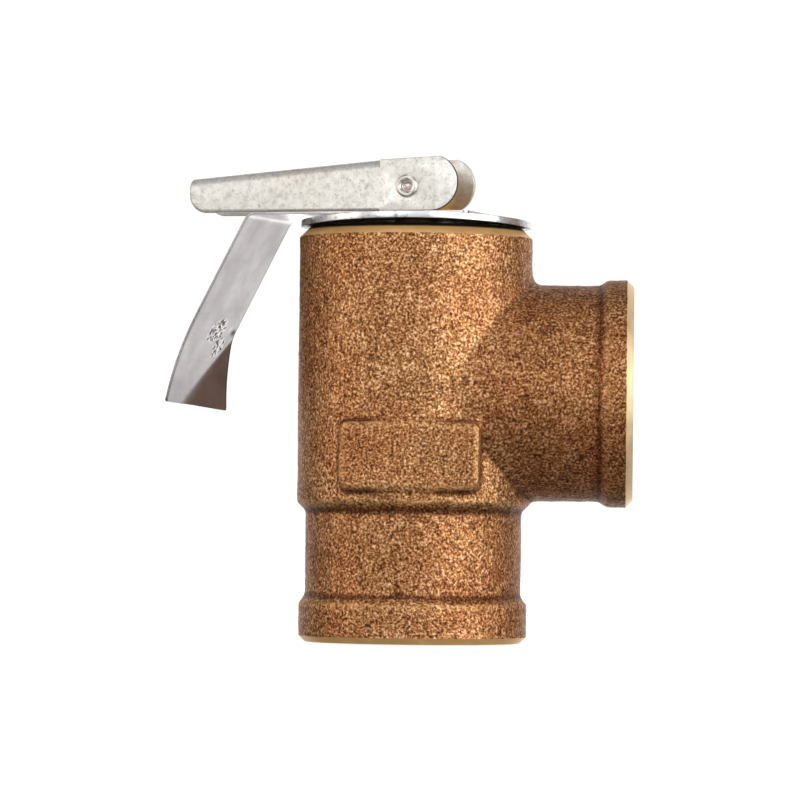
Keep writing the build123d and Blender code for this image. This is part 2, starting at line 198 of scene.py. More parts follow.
def set_materials(mesh, materials):
    """Replaces the mesh's materials. This puts all its faces on the first one."""
    mesh.materials.clear()
    for item in materials:
        mesh.materials.append(item)


def finish_piece(obj, body, nodes, materials=()):
    """Puts a piece made in millimetres into the frame."""
    obj.data.transform(Matrix.Scale(MM, 4))
    for item in materials:
        obj.data.materials.append(item)
    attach(obj, body)
    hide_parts(*nodes)


# ------------------------------------------------------------------ material tools
MIX_FACTOR, MIX_FIRST, MIX_SECOND, MIX_RESULT = 0, 6, 7, 2  # the colour sockets of a Mix node


def link_value(tree, socket, value):
    if isinstance(value, bpy.types.NodeSocket):
        tree.links.new(value, socket)
    else:
        socket.default_value = value


def node(tree, kind, values=None, **settings):
    made = tree.nodes.new("ShaderNode" + kind)
    for key, value in settings.items():
        setattr(made, key, value)
    for key, value in (values or {}).items():
        link_value(tree, made.inputs[key], value)
    return made


def noise_of(tree, vector, scale, detail=2.0, rough=0.5):
    """Noise from 0 to 1. scale is in waves per metre."""
    made = node(tree, "TexNoise", {"Vector": vector, "Scale": scale, "Detail": detail, "Roughness": rough})
    return made.outputs["Fac"]


def attribute_of(tree, name):
    return node(tree, "Attribute", attribute_name=name).outputs["Fac"]


def vector_of(tree, operation, first, second=(0, 0, 0), output="Vector"):
    return node(tree, "VectorMath", {0: first, 1: second}, operation=operation).outputs[output]


def map_of(tree, value, start, end, low=0.0, high=1.0):
    """low where value is at start, high where it is at end, and in proportion between them."""
    return node(tree, "MapRange", {0: value, 1: start, 2: end, 3: low, 4: high}).outputs[0]


def product_of(tree, first, second, clamp=False):
    made = node(tree, "Math", {0: first, 1: second}, operation="MULTIPLY")
    made.use_clamp = clamp
    return made.outputs[0]


def sum_of(tree, first, second):
    return node(tree, "Math", {0: first, 1: second}, operation="ADD").outputs[0]


def weighed(tree, *parts):
    """The sum of (value, share) parts."""
    scaled = [product_of(tree, value, share) for value, share in parts]
    total = scaled[0]
    for part in scaled[1:]:
        total = sum_of(tree, total, part)
    return total


def ramp(tree, value, stops):
    """A curve through (position, grey or colour) stops."""
    made = node(tree, "ValToRGB", {"Fac": value})
    points = made.color_ramp.elements
    while len(points) < len(stops):
        points.new(0.5)
    for point, (position, colour) in zip(points, stops):
        point.position = position
        point.color = (colour, colour, colour, 1) if isinstance(colour, (int, float)) else (*colour, 1)
    return made.outputs["Color"]


def tinted(tree, base, share, colour, mode="MIX"):
    """base turned towards colour. share is a value, or a (value, strength) pair."""
    if isinstance(share, tuple):
        share = product_of(tree, *share)
    made = node(tree, "Mix", data_type="RGBA", blend_type=mode)
    for index, value in ((MIX_FACTOR, share), (MIX_FIRST, base), (MIX_SECOND, (*colour, 1))):
        link_value(tree, made.inputs[index], value)
    return made.outputs[MIX_RESULT]


def bumped(tree, height, distance):
    return node(tree, "Bump", {"Height": height, "Distance": distance, "Strength": 1.0}).outputs["Normal"]


def new_material(name):
    made = bpy.data.materials.new(name)
    made.use_nodes = True
    tree = made.node_tree
    shader = tree.nodes["Principled BSDF"]
    place = tree.nodes.new("ShaderNodeTexCoord").outputs["Object"]
    return made, tree, shader, place


def set_shader(tree, shader, **values):
    for key, value in values.items():
        link_value(tree, shader.inputs[key.replace("_", " ")], value)


# ------------------------------------------------------------------ materials
def cast_bronze_material():
    """Sand-cast bronze: a crisp grain of dark pits and bright crystals, painted shade in the hollows, and
    corners rubbed bright with painted highlights on them.
    """
    made, tree, shader, place = new_material("cast_bronze")
    grain = noise_of(tree, place, 2450, 2, 0.62)
    fine = noise_of(tree, place, 4300, 2, 0.6)
    tone = noise_of(tree, place, 60, 3, 0.55)
    patch = noise_of(tree, place, 420, 3, 0.6)
    height = weighed(tree, (grain, 0.66), (fine, 0.28), (attribute_of(tree, "relief"), 0.06))
    metal = ramp(tree, height, [
        (0.390, (0.075, 0.025, 0.010)),
        (0.450, (0.24, 0.092, 0.029)),
        (0.508, (0.45, 0.195, 0.066)),
        (0.568, (0.72, 0.390, 0.165)),
        (0.635, (0.98, 0.75, 0.49)),
    ])
    red = ramp(tree, tone, [(0.42, 0.0), (0.62, 0.35)])
    metal = tinted(tree, metal, red, (0.86, 0.58, 0.46), "MULTIPLY")
    olive = ramp(tree, patch, [(0.50, 0.0), (0.72, 0.22)])
    metal = tinted(tree, metal, olive, (0.88, 0.90, 0.66), "MULTIPLY")
    bright_grain = ramp(tree, grain, [(0.38, 0.15), (0.60, 0.8)])
    # Corners rubbed bright, with painted highlights on them.
    rubbed_highlight = product_of(tree, attribute_of(tree, "rubbed_and_highlit"), bright_grain, True)
    metal = tinted(tree, metal, (rubbed_highlight, 0.8), (0.88, 0.53, 0.22))
    # Painted shade in hollows and inside corners.
    metal = tinted(tree, metal, (attribute_of(tree, "hollow"), 0.9), (0.38, 0.27, 0.23), "MULTIPLY")
    # Darker and redder on the neck and the branch.
    metal = tinted(tree, metal, attribute_of(tree, "darker_redder"), (0.82, 0.725, 0.67), "MULTIPLY")
    rough = ramp(tree, fine, [(0.3, 0.38), (0.7, 0.58)])
    normal = bumped(tree, height, 0.00014)
    set_shader(tree, shader, Base_Color=metal, Roughness=rough, Normal=normal, Metallic=0.78)
    return made


def turned_material(name, centre, across, colour, pale, metallic=1.0, rougher=0.0, shadow_start=None):
    """Bright metal off a lathe, with fine rings about the line through centre.

    across picks the two axes square to that line. Above the height of its last argument, in metres, the metal
    is painted black: painted shadow under the cap plate.
    """
    made, tree, shader, place = new_material(name)
    moved = vector_of(tree, "SUBTRACT", place, centre)
    square = vector_of(tree, "MULTIPLY", moved, across)
    reach = vector_of(tree, "LENGTH", square, output="Value")
    run = vector_of(tree, "DOT_PRODUCT", moved, tuple(1.0 - a for a in across), output="Value")
    rings = node(tree, "CombineXYZ", {0: reach, 1: run}).outputs[0]
    lines = noise_of(tree, rings, 5200, 2, 0.6)
    broad = noise_of(tree, rings, 700, 2, 0.6)
    smear = noise_of(tree, place, 420, 4, 0.6)
    metal = ramp(tree, weighed(tree, (lines, 0.5), (smear, 0.5)), [(0.34, colour), (0.62, pale)])
    # Painted shadow: black above that height, where the cap plate overhangs the band.
    if shadow_start:
        height = node(tree, "SeparateXYZ", {0: place}).outputs["Z"]
        wavy = sum_of(tree, height, product_of(tree, smear, 0.0002))
        plate_shadow = map_of(tree, wavy, shadow_start, shadow_start + 0.00022)
        metal = tinted(tree, metal, plate_shadow, (0.012, 0.007, 0.004))
    rough = ramp(tree, smear, [(0.35, 0.24 + rougher), (0.68, 0.42 + rougher)])
    normal = bumped(tree, weighed(tree, (lines, 0.6), (broad, 0.4)), 0.00002)
    set_shader(tree, shader, Base_Color=metal, Roughness=rough, Normal=normal, Metallic=metallic)
    return made


def zinc_material(name, inside):
    """Zinc plate on the lever: a grey and beige mottle with dark specks, and inside, a painted golden brown
    reflection of the bronze below.
    """
    made, tree, shader, place = new_material(name)
    mottle = noise_of(tree, place, 900, 5, 0.68)
    cloud = noise_of(tree, place, 130, 4, 0.6)
    fleck = noise_of(tree, place, 2600, 2, 0.6)
    spots = node(tree, "TexVoronoi", {"Vector": place, "Scale": 330.0, "Randomness": 1.0}).outputs["Distance"]
    metal = ramp(tree, mottle, [
        (0.34, (0.67, 0.66, 0.62)), (0.50, (0.84, 0.825, 0.78)), (0.66, (0.92, 0.91, 0.87)),
    ])
    beige = ramp(tree, cloud, [(0.42, 0.0), (0.66, 0.45)])
    metal = tinted(tree, metal, beige, (0.93, 0.89, 0.81), "MULTIPLY")
    peppered = ramp(tree, fleck, [(0.31, 0.50), (0.42, 0.0)])
    metal = tinted(tree, metal, peppered, (0.34, 0.32, 0.29))
    small = ramp(tree, spots, [(0.07, 1.0), (0.15, 0.0)])
    chosen = product_of(tree, small, ramp(tree, cloud, [(0.53, 0.0), (0.60, 1.0)]), True)
    metal = tinted(tree, metal, (chosen, 0.75), (0.16, 0.15, 0.14))
    # Inside the channel: a painted reflection of the bronze body, stronger lower down and only between the
    # ears.
    if inside:
        spot = node(tree, "SeparateXYZ", {0: place}).outputs
        low_down = map_of(tree, spot["Z"], 0.0770, 0.0708, 0.10)
        between_ears = map_of(tree, spot["X"], -0.006, 0.002)
        bronze_reflection = product_of(tree, low_down, ramp(tree, mottle, [(0.35, 1.0), (0.70, 0.75)]), True)
        metal = tinted(tree, metal, (bronze_reflection, between_ears), (0.48, 0.29, 0.10))
    rough = ramp(tree, mottle, [(0.35, 0.50), (0.65, 0.38)])
    normal = bumped(tree, weighed(tree, (mottle, 0.5), (fleck, 0.3), (chosen, -0.5)), 0.00002)
    set_shader(tree, shader, Base_Color=metal, Roughness=rough, Normal=normal, Metallic=0.75)
    return made


def bright_zinc_material(name, shade):
    """Bright zinc with a blue tint, streaks and blots, for the cap plate. shade darkens its underside."""
    made, tree, shader, place = new_material(name)
    drag = noise_of(tree, vector_of(tree, "MULTIPLY", place, (0.6, 0.6, 1.2)), 1500, 3, 0.6)
    cloud = noise_of(tree, place, 210, 4, 0.6)
    fine = noise_of(tree, place, 1900, 2, 0.5)
    metal = ramp(tree, cloud, [
        (0.34, (0.66, 0.70, 0.74)), (0.50, (0.86, 0.89, 0.90)), (0.66, (0.94, 0.95, 0.93)),
    ])
    metal = tinted(tree, metal, ramp(tree, drag, [(0.30, 0.60), (0.42, 0.0)]), (0.30, 0.31, 0.30))
    blots = ramp(tree, noise_of(tree, place, 520, 3, 0.6), [(0.62, 0.0), (0.70, 0.7)])
    metal = tinted(tree, metal, blots, (0.20, 0.22, 0.22))
    metal = tinted(tree, metal, 1.0, shade, "MULTIPLY")
    rough = ramp(tree, cloud, [(0.35, 0.22), (0.70, 0.42)])
    normal = bumped(tree, weighed(tree, (drag, 0.6), (fine, 0.4)), 0.00004)
    set_shader(tree, shader, Base_Color=metal, Roughness=rough, Normal=normal, Metallic=0.9)
    return made


def stainless_material():
    """Satin sheet: fine lines along the strip's width, a faint haze, painted shade along the rims, and a
    stamped patch painted pale with dark pits as painted highlights and shade.
    """
    made, tree, shader, place = new_material("stainless")
    turned = node(tree, "VectorRotate", {"Vector": place, "Angle": TAG_TURN}, rotation_type="Z_AXIS")
    brush = noise_of(tree, vector_of(tree, "MULTIPLY", turned.outputs[0], (1.0, 0.06, 1.0)), 2600, 3, 0.6)
    cloud = noise_of(tree, place, 160, 3, 0.5)
    fine = noise_of(tree, place, 2300, 2, 0.5)
    stamped_and_highlit = attribute_of(tree, "stamped_and_highlit")
    metal = ramp(tree, cloud, [(0.35, (0.36, 0.328, 0.328)), (0.65, (0.52, 0.485, 0.485))])
    haze = ramp(tree, noise_of(tree, place, 620, 4, 0.65), [(0.35, 0.35), (0.60, 0.0)])
    metal = tinted(tree, metal, haze, (0.40, 0.36, 0.37))
    # Painted shade along the rims.
    metal = tinted(tree, metal, (attribute_of(tree, "rim"), 0.7), (0.20, 0.17, 0.16))
    # The stamped patch: painted pale as its highlights, with dark pits as painted shade.
    pits = product_of(tree, stamped_and_highlit, ramp(tree, fine, [(0.40, 1.0), (0.56, 0.0)]), True)
    metal = tinted(tree, metal, (stamped_and_highlit, 0.8), (0.88, 0.86, 0.86))
    metal = tinted(tree, metal, (pits, 0.75), (0.24, 0.21, 0.20))
    rough = ramp(tree, brush, [(0.35, 0.23), (0.65, 0.17)])
    normal = bumped(tree, weighed(tree, (brush, 0.6), (fine, 0.4)), 0.000005)
    set_shader(tree, shader, Base_Color=metal, Roughness=rough, Normal=normal, Metallic=1.0)
    return made


def steel_material(name, colour, pale, rough_low, rough_high):
    made, tree, shader, place = new_material(name)
    metal = ramp(tree, noise_of(tree, place, 380, 4, 0.6), [(0.36, colour), (0.62, pale)])
    fine = noise_of(tree, place, 2100, 3, 0.6)
    rough = ramp(tree, fine, [(0.35, rough_low), (0.65, rough_high)])
    normal = bumped(tree, fine, 0.000015)
    set_shader(tree, shader, Base_Color=metal, Roughness=rough, Normal=normal, Metallic=1.0)
    return made


def rubber_material():
    made, tree, shader, place = new_material("seat_rubber")
    cloud = noise_of(tree, place, 300, 4, 0.6)
    fine = noise_of(tree, place, 3000, 3, 0.6)
    dark = ramp(tree, cloud, [(0.35, (0.012, 0.012, 0.012)), (0.65, (0.035, 0.033, 0.032))])
    rough = ramp(tree, fine, [(0.35, 0.55), (0.65, 0.75)])
    set_shader(tree, shader, Base_Color=dark, Roughness=rough, Normal=bumped(tree, fine, 0.00004))
    return made


AXIS = (0, 0, 0)
Z_LINE = (1.0, 1.0, 0.0)
X_LINE = (0.0, 1.0, 1.0)
cast_bronze = cast_bronze_material()
# Its top band is painted black above 66.68 mm: painted shadow under the cap plate.
turned_inlet = turned_material(
    "turned_bronze_upright", AXIS, Z_LINE, (0.80, 0.44, 0.15), (0.95, 0.58, 0.24),
    metallic=0.5, rougher=0.12, shadow_start=0.06668,
)
# The outlet's copy of the turned bronze is paler than the inlet's: its own colour with a painted highlight.
highlit_outlet_bronze = turned_material(
    "highlit_side_bronze", (0, 0, BRANCH_AXIS * MM), X_LINE, (0.96, 0.64, 0.33), (1.0, 0.78, 0.48),
    metallic=0.7, rougher=0.12,
)
# A near-black copy of the turned bronze for the flat top under the cap plate: painted shade.
shadowed_top_bronze = turned_material("shadowed_top_bronze", AXIS, Z_LINE, (0.05, 0.030, 0.014), (0.09, 0.055, 0.026))
turned_brass = turned_material("turned_brass", AXIS, Z_LINE, (0.62, 0.45, 0.20), (0.86, 0.70, 0.38))
zinc_steel = zinc_material("zinc_steel", False)
reflecting_zinc = zinc_material("reflecting_zinc", True)
bright_zinc = bright_zinc_material("bright_zinc", (1.0, 1.0, 1.0))
shaded_zinc = bright_zinc_material("shaded_zinc", (0.10, 0.07, 0.05))
stainless = stainless_material()
spring_steel = steel_material("spring_steel", (0.24, 0.24, 0.25), (0.42, 0.42, 0.43), 0.28, 0.42)
rivet_steel = steel_material("rivet_steel", (0.58, 0.53, 0.50), (0.80, 0.75, 0.71), 0.28, 0.42)
# Near-black metal for the near ear's rim at the heel: painted shadow.
shadowed_rim = steel_material("shadowed_rim", (0.05, 0.04, 0.035), (0.12, 0.10, 0.085), 0.5, 0.7)
seat_rubber = rubber_material()

# ------------------------------------------------------------------ body
AROUND = 128
SPARE = 1.0  # how far the raw casting runs past the faces that are cut later
VOXEL = 0.37
BODY_METALS = [cast_bronze, turned_inlet, highlit_outlet_bronze, shadowed_top_bronze]
TURNED_UPRIGHT, TURNED_SIDEWAYS, SHADOWED_TOP = 1, 2, 3  # their places in that list

BARREL = [
    (0, -SPARE), (18.5, -SPARE), (18.5, 6.3), (NECK_RADIUS, 7.5), (NECK_RADIUS, 21.2), (BARREL_RADIUS, 22.6),
    (BARREL_RADIUS, BODY_TOP + SPARE), (0, BODY_TOP + SPARE),
]
BRANCH = [
    (0, 0), (BRANCH_RADIUS, 0), (BRANCH_RADIUS, 30.0), (18.4, 31.2),
    (18.4, OUTLET_FACE + SPARE), (0, OUTLET_FACE + SPARE),
]
# Painted shade in inside corners, as place and spread: heights on the neck, and a distance along the branch.
NECK_CREASES = ((21.4, 0.50), (7.5, 0.45))
BRANCH_CREASE = (30.3, 0.45)
PAD_SIZE = (22.4, 7.2, 10.9)
PAD_CENTRE = (0.0, -15.6, 30.0)
PAD_FRONT = PAD_CENTRE[1] - PAD_SIZE[1] / 2

# What the lathe takes off, as metal, name, (radius, height) outline and place.
TURNED_AWAY = (
    (TURNED_UPRIGHT, "inlet_face", [(0, 0), (17.5, 0), (21.5, 4.0), (21.5, -4), (0, -4)], UPRIGHT),
    (TURNED_UPRIGHT, "top_face", [
        (0, BODY_TOP), (17.25, BODY_TOP), (22.0, 62.45), (22.0, 71), (0, 71),
    ], UPRIGHT),
    (TURNED_SIDEWAYS, "outlet_face", [
        (0, OUTLET_FACE), (17.3, OUTLET_FACE), (21.3, 31.5), (21.3, 40), (0, 40),
    ], SIDEWAYS),
    (TURNED_UPRIGHT, "inlet_bore", [
        (0, -2), (12.95, -2), (12.95, -0.6), (11.85, 0.5), (11.85, 14.5), (8.0, 17.2), (8.0, 26), (0, 26),
    ], UPRIGHT),
    (TURNED_UPRIGHT, "chamber", [
        (0, 25.5), (8.9, 25.5), (9.6, 24.8), (9.6, 21.5), (14.6, 21.5), (14.6, 68), (0, 68),
    ], UPRIGHT),
    (TURNED_SIDEWAYS, "outlet_bore", [
        (0, 4.0), (10.8, 4.0), (10.8, 19.0), (11.85, 21.0), (11.85, 35.0),
        (12.95, 36.1), (12.95, 37), (0, 37),
    ], SIDEWAYS),
)
OUTLET_THREAD = Matrix.Translation((OUTLET_FACE, 0, BRANCH_AXIS)) @ Matrix.Rotation(-math.pi / 2, 4, "Y")


def rounded_pad():
    """The flat casting pad, a block with rounded corners and front edges."""
    work = bmesh.new()
    bmesh.ops.create_cube(work, size=1.0)
    bmesh.ops.scale(work, vec=PAD_SIZE, verts=work.verts)
    bmesh.ops.translate(work, vec=PAD_CENTRE, verts=work.verts)
    along_y = []
    for edge in work.edges:
        one, other = (v.co for v in edge.verts)
        if abs(one.x - other.x) + abs(one.z - other.z) < 1e-6:
            along_y.append(edge)
    bmesh.ops.bevel(work, geom=along_y, offset=1.2, segments=5, profile=0.5, affect="EDGES")
    front = [e for e in work.edges if all(v.co.y < PAD_FRONT + 0.1 for v in e.verts)]
    bmesh.ops.bevel(work, geom=front, offset=0.45, segments=4, profile=0.5, affect="EDGES")
    mesh = bpy.data.meshes.new("pad")
    work.to_mesh(mesh)
    work.free()
    return linked("pad", mesh)


def thread_rod(name, turns, segments, place):
    """A screw-shaped solid whose ridges cut a pipe thread. It starts outside the face and runs out inside."""
    crest, root, pitch, taper, fade_turns = 11.8, 13.15, 1.814, 1 / 32, 1.6
    shape = ((0.0, 0.0), (0.10, 0.0), (0.50, 1.0), (0.60, 1.0))
    vertices = []
    rows = (turns + 1) * len(shape) + 1
    for row in range(rows):
        lap, part = divmod(row, len(shape))
        offset, depth = shape[part]
        for step in range(segments):
            turn = step / segments
            travelled = lap + offset + turn
            height = (travelled - 1.5) * pitch
            fade = min(1.0, max(0.0, (turns - travelled) / fade_turns))
            reach = crest + (root - height * taper - crest) * depth * fade
            angle = 2 * math.pi * turn
            vertices.append(place @ Vector((reach * math.cos(angle), reach * math.sin(angle), height)))
    faces = []
    shift = len(shape)
    for row in range(rows - 1):
        for step in range(segments - 1):
            low = row * segments + step
            faces.append((low, low + 1, low + segments + 1, low + segments))
    for row in range(rows - 1 - shift):
        low = row * segments + segments - 1
        far = (row + shift) * segments
        faces.append((low, far, far + segments, low + segments))
    # The ends: the first and last rows, and the steps beside them, close on a point on the axis.
    first = list(range(segments)) + [row * segments for row in range(shift, 0, -1)]
    last_row = (rows - 1) * segments
    last = [last_row + step for step in range(segments)]
    last += [(rows - 1 - shift + down) * segments + segments - 1 for down in range(shift - 1, -1, -1)]
    for loop, height in ((first, -1.6 * pitch), (last, (turns - 0.2) * pitch)):
        centre = len(vertices)
        vertices.append(place @ Vector((0, 0, height)))
        for one, other in zip(loop, loop[1:] + loop[:1]):
            faces.append((one, other, centre))
    return new_object(name, vertices, faces)


def relief_height(points):
    """The sand-cast surface's height over its smooth shape, in millimetres."""
    octaves = ((5.5, 0.045), (2.1, 0.045), (1.05, 0.060), (0.62, 0.040))
    total = np.zeros(len(points))
    for number, (size, height) in enumerate(octaves):
        shift = Vector((17.3 * number, 5.1, 9.7 * number))
        total += [height * noise.noise(Vector(p) / size + shift) for p in points]
    return total


def sum_of_neighbours(edges, values):
    total = np.zeros_like(values)
    for one, other in ((0, 1), (1, 0)):
        np.add.at(total, edges[:, one], values[edges[:, other]])
    return total


def bending(mesh):
    """How sharply the surface bends at each vertex, per mm: above 0 on a ridge, below 0 in a hollow."""
    places, normals = places_of(mesh), normals_of(mesh)
    edges = read_array(mesh.edges, "vertices", 2, int)
    count = sum_of_neighbours(edges, np.ones(len(places)))
    middles = sum_of_neighbours(edges, places) / count[:, None]
    bend = ((places - middles) * normals).sum(1) / VOXEL**2
    for _ in range(3):
        bend = 0.5 * bend + 0.5 * sum_of_neighbours(edges, bend) / count
    return bend


def round_junction(body):
    """Softens only the inside corner where the branch leaves the barrel, and less so below the branch."""
    x, y, z = places_of(body.data).T
    off_barrel = np.abs(np.hypot(x, y) - BARREL_RADIUS)
    off_branch = np.abs(np.hypot(y, z - BRANCH_AXIS) - BRANCH_RADIUS)
    share = np.clip(1.0 - (np.maximum(off_barrel, off_branch) - 1.2) / 2.0, 0, 1) * (x > 0)
    share *= np.clip((z - 33.0) / 8.0, 0.13, 1)
    group = body.vertex_groups.new(name="junction")
    levels = 8
    steps = np.round(share * levels).astype(int)
    for step in range(1, levels + 1):
        group.add([int(k) for k in np.flatnonzero(steps == step)], step / levels, "REPLACE")
    modify(body, "SMOOTH", factor=0.5, iterations=90, vertex_group="junction")
    body.vertex_groups.clear()


def band(position, centre, spread):
    return np.exp(-(((position - centre) / spread) ** 2))


def cast_body():
    """The body as it comes out of the sand, with the attributes that its metal needs."""
    body = revolved("cast_valve_body", BARREL, AROUND)
    for other in (revolved("branch", BRANCH, AROUND, SIDEWAYS), rounded_pad()):
        cut(body, other, "UNION")
    modify(body, "REMESH", mode="VOXEL", voxel_size=VOXEL, use_smooth_shade=True)
    round_junction(body)
    modify(body, "SMOOTH", factor=0.5, iterations=6)
    mesh = body.data
    # The corners are found before the sand's relief: the outer ones rub bright, with painted highlights, and
    # the inner ones get painted shade.
    bend = bending(mesh)
    point_attribute(mesh, "rubbed_and_highlit", np.clip((bend - 0.030) / 0.12, 0, 1))
    places, normals = places_of(mesh), normals_of(mesh)
    x, _, z = places.T
    on_branch = x > 24
    crease = np.where(on_branch, band(x, *BRANCH_CREASE), sum(band(z, *spot) for spot in NECK_CREASES))
    point_attribute(mesh, "hollow", np.clip((-bend - 0.030) / 0.14 + 0.75 * crease, 0, 1))
    places = places + normals * relief_height(places)[:, None]
    mesh.vertices.foreach_set("co", places.ravel())
    mesh.update()
    return body


def make_body():
    body = cast_body()
    cutters = [(metal, revolved(name, outline, AROUND, place)) for metal, name, outline, place in TURNED_AWAY]
    cutters.append((TURNED_UPRIGHT, thread_rod("inlet_thread", 8, 96, UPRIGHT)))
    cutters.append((TURNED_SIDEWAYS, thread_rod("outlet_thread", 8, 96, OUTLET_THREAD)))
    set_materials(body.data, BODY_METALS)
    for metal, cutter in cutters:
        set_materials(cutter.data, BODY_METALS)
        cutter.data.polygons.foreach_set("material_index", [metal] * len(cutter.data.polygons))
        cut(body, cutter)
    mesh = body.data
    places = places_of(mesh)
    point_attribute(mesh, "relief", np.clip(0.5 + relief_height(places) / 0.14, 0, 1))
    # The neck and the branch are tinted darker and redder than the barrel.
    x, y, z = places.T
    down_neck = np.clip(22.2 - z, 0, 0.5)
    out_branch = np.clip((np.hypot(x, y) - 19.3) / 3.0, 0, 1)
    point_attribute(mesh, "darker_redder", np.maximum(down_neck, out_branch))
    # The flat top under the cap plate is painted near-black: painted shade in the gap.
    for face in mesh.polygons:
        if face.material_index == TURNED_UPRIGHT and face.normal.z > 0.99 and face.center.z > BODY_TOP - 0.2:
            face.material_index = SHADOWED_TOP
    sharpen(mesh, 42)
    return body


finish_piece(make_body(), "valve", ["valve_body"])

# ------------------------------------------------------------------ rating tag, in millimetres
# run is the distance along the strip, from the stem towards the hanging end.
# across is the distance from its middle line, positive on the near side.
TAG_HALF = 10.4
TAG_SHEET = 0.4
TAG_HEIGHT = 69.28
TAG_BACK = -12.0
TAG_TIP_NEAR, TAG_TIP_FAR = 58.83, 59.33
TAG_END = 60.2  # past both tips, where the grid ends
TAG_LEAN = math.radians(28.0)
TAG_FOLD = math.pi / 2 - TAG_LEAN
TAG_BEND = 2.0
TAG_ELBOW = 25.37  # where the flat and the hanging part would meet if the bend were sharp
TAG_STRAIGHT = 18.5  # from the elbow to where the curl starts
TAG_FLAT = TAG_ELBOW - TAG_BEND * math.tan(TAG_FOLD / 2)
TAG_CURL_START = TAG_FLAT + TAG_BEND * TAG_FOLD + TAG_STRAIGHT - (TAG_ELBOW - TAG_FLAT)
TAG_CURL_RADIUS = 15.2**2 / (2 * 2.1)  # it comes 2.1 inwards over a length of 15.2
TAG_ALONG = np.array([math.cos(TAG_TURN), -math.sin(TAG_TURN), 0.0])
TAG_NEAR = np.array([-math.sin(TAG_TURN), -math.cos(TAG_TURN), 0.0])
CREASE_POINT = (52.1, -5.5)
CREASE_ALONG = math.radians(47.0)
CREASE_ANGLE = math.radians(17.8)
CREASE_SOFT, CREASE_SOFTER = 0.9, 0.12
# Each part of the stamped patch: its centre, its reach and how many facets it has.
STAMPED = (((46.0, -1.6), (2.1, 3.2), 64), ((49.0, -4.8), (1.7, 2.2), 30))
DENT_CENTRE, DENT_REACH, DENT_DEPTH = (46.0, -8.5), (0.9, 1.8), 0.24


def tag_line(run):
    """The strip's middle line and its inward normal, as (along, up) pairs in the tag's own upright plane."""
    place, normal = np.zeros((len(run), 2)), np.zeros((len(run), 2))
    flat = run <= TAG_FLAT
    place[flat] = np.stack([-run[flat], np.full(flat.sum(), TAG_HEIGHT)], 1)
    normal[flat] = (0, -1)
    past = run - TAG_FLAT
    bend = ~flat & (past <= TAG_BEND * TAG_FOLD)
    angle = past[bend] / TAG_BEND
    place[bend] = np.stack([
        -TAG_FLAT - TAG_BEND * np.sin(angle), TAG_HEIGHT - TAG_BEND + TAG_BEND * np.cos(angle),
    ], 1)
    normal[bend] = np.stack([np.sin(angle), -np.cos(angle)], 1)
    corner = np.array([
        -TAG_FLAT - TAG_BEND * math.sin(TAG_FOLD), TAG_HEIGHT - TAG_BEND + TAG_BEND * math.cos(TAG_FOLD),
    ])
    down = np.array([-math.sin(TAG_LEAN), -math.cos(TAG_LEAN)])
    inward = np.array([math.cos(TAG_LEAN), -math.sin(TAG_LEAN)])
    straight = ~flat & ~bend & (run <= TAG_CURL_START)
    past = run - TAG_FLAT - TAG_BEND * TAG_FOLD
    place[straight] = corner + past[straight, None] * down
    normal[straight] = inward
    curl = run > TAG_CURL_START
    start = corner + (TAG_CURL_START - TAG_FLAT - TAG_BEND * TAG_FOLD) * down
    angle = ((run[curl] - TAG_CURL_START) / TAG_CURL_RADIUS)[:, None]
    place[curl] = start + TAG_CURL_RADIUS * (inward * (1 - np.cos(angle)) + down * np.sin(angle))
    normal[curl] = inward * np.cos(angle) - down * np.sin(angle)
    return place, normal


def tag_surface(run, across):
    """Points on the middle of the sheet, bent down, curled and creased towards its far lower corner."""
    place, normal = tag_line(run)
    side = (-math.sin(CREASE_ALONG), math.cos(CREASE_ALONG))
    beyond = -((run - CREASE_POINT[0]) * side[0] + (across - CREASE_POINT[1]) * side[1])
    down = (run - CREASE_POINT[0]) * side[1] - (across - CREASE_POINT[1]) * side[0]
    half = np.clip(CREASE_SOFT + CREASE_SOFTER * down, 0.6, 3.0)
    soft = np.clip((beyond + half) / (2 * half), 0, 1)
    rise = math.tan(CREASE_ANGLE) * (np.maximum(beyond - half, 0) + half * soft**2)
    place = place + normal * rise[:, None]
    points = place[:, :1] * TAG_ALONG + across[:, None] * TAG_NEAR
    points[:, 2] += place[:, 1]
    return points


def stamped_marks(run, across):
    """Height of the overstamped patch, a crowd of small tilted facets, and of the dent beside it.

    The second result is how much of the patch each point has.
    """
    draw = np.random.default_rng(7)
    height, share = np.zeros(len(run)), np.zeros(len(run))
    for centre, spread, count in STAMPED:
        aslant = across - centre[1] - 0.5 * (run - centre[0])
        away = np.hypot((run - centre[0]) / spread[0], aslant / spread[1])
        part = np.clip((1.15 - away) / 0.25, 0, 1)
        near = part > 0
        reach, turn = np.sqrt(draw.uniform(0, 1.5, count)), draw.uniform(0, 2 * math.pi, count)
        seeds = np.stack([reach * np.cos(turn) * spread[0], reach * np.sin(turn) * spread[1]], 1)
        seeds[:, 1] += 0.5 * seeds[:, 0]
        tilts, lifts = draw.uniform(-0.30, 0.30, (count, 2)), draw.uniform(-0.02, 0.04, count)
        tilts[:, 1] *= 0.5
        offset = np.stack([run[near] - centre[0], across[near] - centre[1]], 1)[:, None] - seeds[None]
        closest = np.argmin(offset[..., 0] ** 2 + (offset[..., 1] / 1.7) ** 2, 1)
        step = offset[np.arange(len(closest)), closest]
        height[near] += part[near] * ((step * tilts[closest]).sum(1) + lifts[closest])
        share = np.maximum(share, part)
    dent = np.hypot((run - DENT_CENTRE[0]) / DENT_REACH[0], (across - DENT_CENTRE[1]) / DENT_REACH[1])
    height -= DENT_DEPTH * np.exp(-dent**2 * 1.4)
    return height, share


